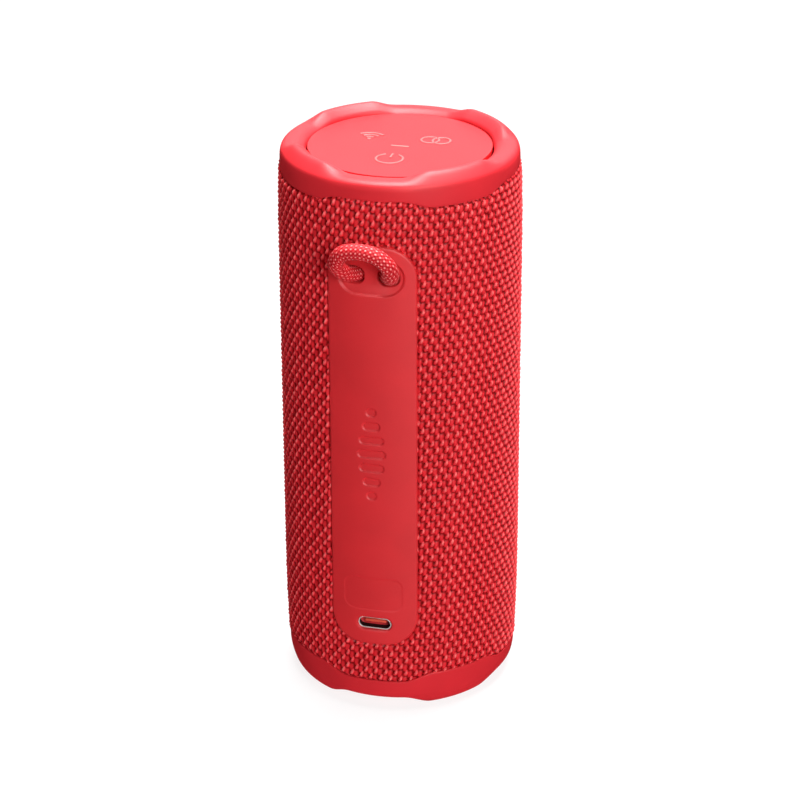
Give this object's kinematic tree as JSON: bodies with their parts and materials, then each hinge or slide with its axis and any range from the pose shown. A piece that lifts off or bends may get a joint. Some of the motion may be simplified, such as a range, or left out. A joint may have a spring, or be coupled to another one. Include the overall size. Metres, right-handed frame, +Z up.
{
  "type": "portable cylindrical speaker",
  "caption": "Upright cylindrical speaker in a woven red sleeve, with lobed rubber end caps, a smooth rubber spine with a charging port, and a short braided carry loop.",
  "frame": {"origin": "centre of the circle that the foot stands on, on the floor plane", "axes": "+Z up along the cylinder; -Y is the side with the spine, loop and charging port; +Y is the side with the drivers"},
  "size_m": [0.072, 0.0803, 0.173],
  "materials": {
    "red_rubber": "soft matte rubber",
    "panel_rubber": "satin rubber",
    "red_silicone": "smooth matte silicone",
    "red_fabric": "coarse plain weave",
    "red_rope": "round braid",
    "port_metal": "bright plated steel",
    "tongue_plastic": "moulded",
    "light_plastic": "clear diffusing",
    "black_plastic": "moulded",
    "cone_paper": "pressed paper",
    "black_rubber": "matte",
    "magnet_ferrite": "sintered ferrite",
    "motor_steel": "zinc plated",
    "copper_coil": "enamelled copper",
    "circuit_board": "solder mask over glass laminate",
    "battery_wrap": "heat-shrink film"
  },
  "bodies": {
    "root": {"top_cap_ring": "red_rubber", "foot_ring": "red_rubber", "bottom_plate": "red_rubber", "top_panel": "panel_rubber", "rear_plate": "red_silicone", "loop_anchor": "red_silicone", "fabric_sleeve": "red_fabric", "charge_port_shell": "port_metal", "charge_port_tongue": "tongue_plastic", "led_light_guide": "light_plastic", "power_switch": "black_plastic", "pairing_switch": "black_plastic", "link_switch": "black_plastic", "top_deck": "black_plastic", "bottom_deck": "black_plastic", "grille_frame": "black_plastic", "lower_bay": "black_plastic", "upper_bay": "black_plastic", "acoustic_enclosure": "black_plastic", "enclosure_lid_bottom": "black_plastic", "enclosure_lid_top": "black_plastic", "woofer_basket": "black_plastic", "left_radiator_frame": "black_plastic", "right_radiator_frame": "black_plastic", "tweeter_housing": "black_plastic", "amplifier_chip": "black_plastic", "battery_holder": "black_plastic", "woofer_spider": "cone_paper", "charge_port_seal": "black_rubber", "woofer_surround": "black_rubber", "left_radiator_surround": "black_rubber", "right_radiator_surround": "black_rubber", "woofer_magnet": "magnet_ferrite", "tweeter_magnet": "magnet_ferrite", "bottom_screw_1": "motor_steel", "bottom_screw_2": "motor_steel", "bottom_screw_3": "motor_steel", "bottom_screw_4": "motor_steel", "woofer_top_plate": "motor_steel", "woofer_yoke": "motor_steel", "wireless_module": "motor_steel", "flex_ribbon": "copper_coil", "button_board": "circuit_board", "front_key_flex": "circuit_board", "main_board": "circuit_board", "battery_cell": "battery_wrap"},
    "power_button": {"power_key": "panel_rubber"},
    "pairing_button": {"pairing_key": "panel_rubber"},
    "link_button": {"link_key": "panel_rubber"},
    "volume_down_button": {"volume_down_key": "red_rubber"},
    "play_button": {"play_key": "red_rubber"},
    "volume_up_button": {"volume_up_key": "red_rubber"},
    "woofer_diaphragm": {"woofer_cone": "cone_paper", "woofer_dust_cap": "black_rubber", "woofer_voice_coil": "copper_coil"},
    "tweeter_diaphragm": {"tweeter_dome": "copper_coil"},
    "left_radiator": {"left_radiator_plate": "black_plastic"},
    "right_radiator": {"right_radiator_plate": "black_plastic"},
    "loop": {"rope_loop": "red_rope"}
  },
  "joints": [
    {"name": "power_press", "type": "slide", "parent": "root", "child": "power_button", "axis": [0, 0, -1], "range_m": [0, 0.0003], "stiffness_N_per_m": 400},
    {"name": "pairing_press", "type": "slide", "parent": "root", "child": "pairing_button", "axis": [0, 0, -1], "range_m": [0, 0.0003], "stiffness_N_per_m": 400},
    {"name": "link_press", "type": "slide", "parent": "root", "child": "link_button", "axis": [0, 0, -1], "range_m": [0, 0.0003], "stiffness_N_per_m": 400},
    {"name": "volume_down_press", "type": "slide", "parent": "root", "child": "volume_down_button", "axis": [-0.5, -0.866, 0], "range_m": [0, 0.0003], "stiffness_N_per_m": 400},
    {"name": "play_press", "type": "slide", "parent": "root", "child": "play_button", "axis": [0, -1, 0], "range_m": [0, 0.0003], "stiffness_N_per_m": 400},
    {"name": "volume_up_press", "type": "slide", "parent": "root", "child": "volume_up_button", "axis": [0.5, -0.866, 0], "range_m": [0, 0.0003], "stiffness_N_per_m": 400},
    {"name": "woofer_travel", "type": "slide", "parent": "root", "child": "woofer_diaphragm", "axis": [0, 1, 0], "range_m": [-0.0025, 0.0025], "stiffness_N_per_m": 1200, "deforming": ["woofer_surround", "woofer_spider"]},
    {"name": "tweeter_travel", "type": "slide", "parent": "root", "child": "tweeter_diaphragm", "axis": [0, 1, 0], "range_m": [-0.0002, 0.0002], "stiffness_N_per_m": 800},
    {"name": "left_radiator_travel", "type": "slide", "parent": "root", "child": "left_radiator", "axis": [1, 0, 0], "range_m": [-0.002, 0.002], "stiffness_N_per_m": 800, "deforming": ["left_radiator_surround"]},
    {"name": "right_radiator_travel", "type": "slide", "parent": "root", "child": "right_radiator", "axis": [1, 0, 0], "range_m": [-0.002, 0.002], "stiffness_N_per_m": 800, "deforming": ["right_radiator_surround"]},
    {"name": "loop_swing", "type": "hinge", "parent": "root", "child": "loop", "pos_m": [0, -0.0303, 0.1422], "axis": [1, 0, 0], "range_deg": [-10, 60], "stiffness_Nm_per_rad": 0.005, "deforming": ["rope_loop"]}
  ]
}
